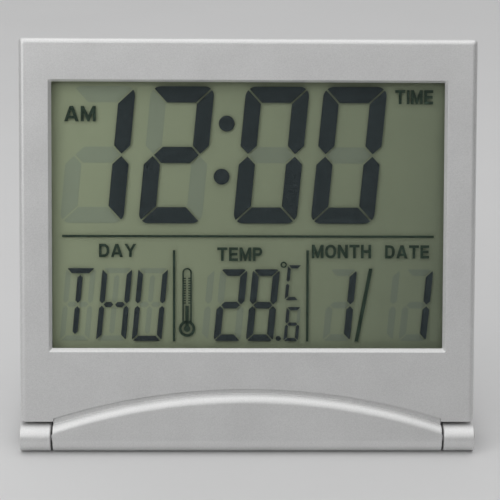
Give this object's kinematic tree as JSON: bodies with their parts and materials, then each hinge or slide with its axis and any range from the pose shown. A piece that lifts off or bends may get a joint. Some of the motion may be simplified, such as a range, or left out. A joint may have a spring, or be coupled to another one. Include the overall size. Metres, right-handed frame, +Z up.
{
  "type": "travel alarm clock",
  "caption": "Folding digital travel alarm clock with a large display, leaning on its hinged flip cover, with rear buttons and a battery door.",
  "frame": {"origin": "middle of the footprint, on the surface the clock stands on, with the cover folded back as its stand", "axes": "+X to the right of the face as seen from the front, +Y to the rear, +Z up"},
  "size_m": [0.11, 0.0994, 0.0957],
  "materials": {
    "silver_paint": "moulded plastic with satin silver metallic paint",
    "clear_lens": "clear polished acrylic",
    "display_film": "neutral polarising film",
    "display_glass": "thin flat glass",
    "reflector": "grey-green satin reflective film",
    "lcd_ink": "dark blue-black liquid crystal segments",
    "white_plastic": "plain moulded",
    "zebra_rubber": "striped conductive silicone",
    "circuit_board": "green solder mask",
    "epoxy": "poured black epoxy",
    "bright_steel": "nickel plated",
    "buzzer_brass": "satin",
    "sensor_bead": "lacquered bead",
    "red_wire": "insulated wire",
    "black_wire": "insulated wire",
    "silicone": "translucent silicone",
    "button_plastic": "fine textured dark plastic"
  },
  "bodies": {
    "clock_body": {"front_bezel": "silver_paint", "window_lens": "clear_lens", "front_polariser": "display_film", "lcd_front_glass": "display_glass", "lcd_rear_glass": "display_glass", "rear_reflector": "reflector", "lcd_frame": "white_plastic", "zebra_strip_lower": "zebra_rubber", "zebra_strip_upper": "zebra_rubber", "main_pcb": "circuit_board", "chip_blob": "epoxy", "quartz_crystal": "bright_steel", "thermistor": "sensor_bead", "piezo_buzzer": "buzzer_brass", "buzzer_lead_red": "red_wire", "buzzer_lead_black": "black_wire", "battery_contact_minus": "bright_steel", "battery_contact_plus": "bright_steel", "coin_cell": "bright_steel", "keypad_mat": "silicone", "rear_case": "silver_paint", "case_screw_1": "bright_steel", "case_screw_2": "bright_steel", "case_screw_3": "bright_steel", "case_screw_4": "bright_steel", "pcb_screw_1": "bright_steel", "pcb_screw_2": "bright_steel", "pcb_screw_3": "bright_steel", "pcb_screw_4": "bright_steel", "hinge_pin_left": "bright_steel", "hinge_pin_right": "bright_steel"},
    "flip_cover": {"flip_cover": "silver_paint"},
    "battery_door": {"battery_door": "silver_paint"},
    "button_mode": {"button_mode": "button_plastic"},
    "button_set": {"button_set": "button_plastic"},
    "button_up": {"button_up": "button_plastic"},
    "button_down": {"button_down": "button_plastic"}
  },
  "joints": [
    {"name": "cover_hinge", "type": "hinge", "parent": "clock_body", "child": "flip_cover", "pos_m": [0, -0.04655, 0.0032], "axis": [1, 0, 0], "range_deg": [-283.07, 0]},
    {"name": "button_mode_press", "type": "slide", "parent": "clock_body", "child": "button_mode", "axis": [0, 0.9613, -0.2756], "range_m": [-0.0006, 0], "stiffness_N_per_m": 400, "springref_m": 0.0005},
    {"name": "button_set_press", "type": "slide", "parent": "clock_body", "child": "button_set", "axis": [0, 0.9613, -0.2756], "range_m": [-0.0006, 0], "stiffness_N_per_m": 400, "springref_m": 0.0005},
    {"name": "button_up_press", "type": "slide", "parent": "clock_body", "child": "button_up", "axis": [0, 0.9613, -0.2756], "range_m": [-0.0006, 0], "stiffness_N_per_m": 400, "springref_m": 0.0005},
    {"name": "button_down_press", "type": "slide", "parent": "clock_body", "child": "button_down", "axis": [0, 0.9613, -0.2756], "range_m": [-0.0006, 0], "stiffness_N_per_m": 400, "springref_m": 0.0005},
    {"name": "battery_door_lift", "type": "slide", "parent": "clock_body", "child": "battery_door", "axis": [0, 0.9613, -0.2756], "range_m": [0, 0.02]}
  ]
}
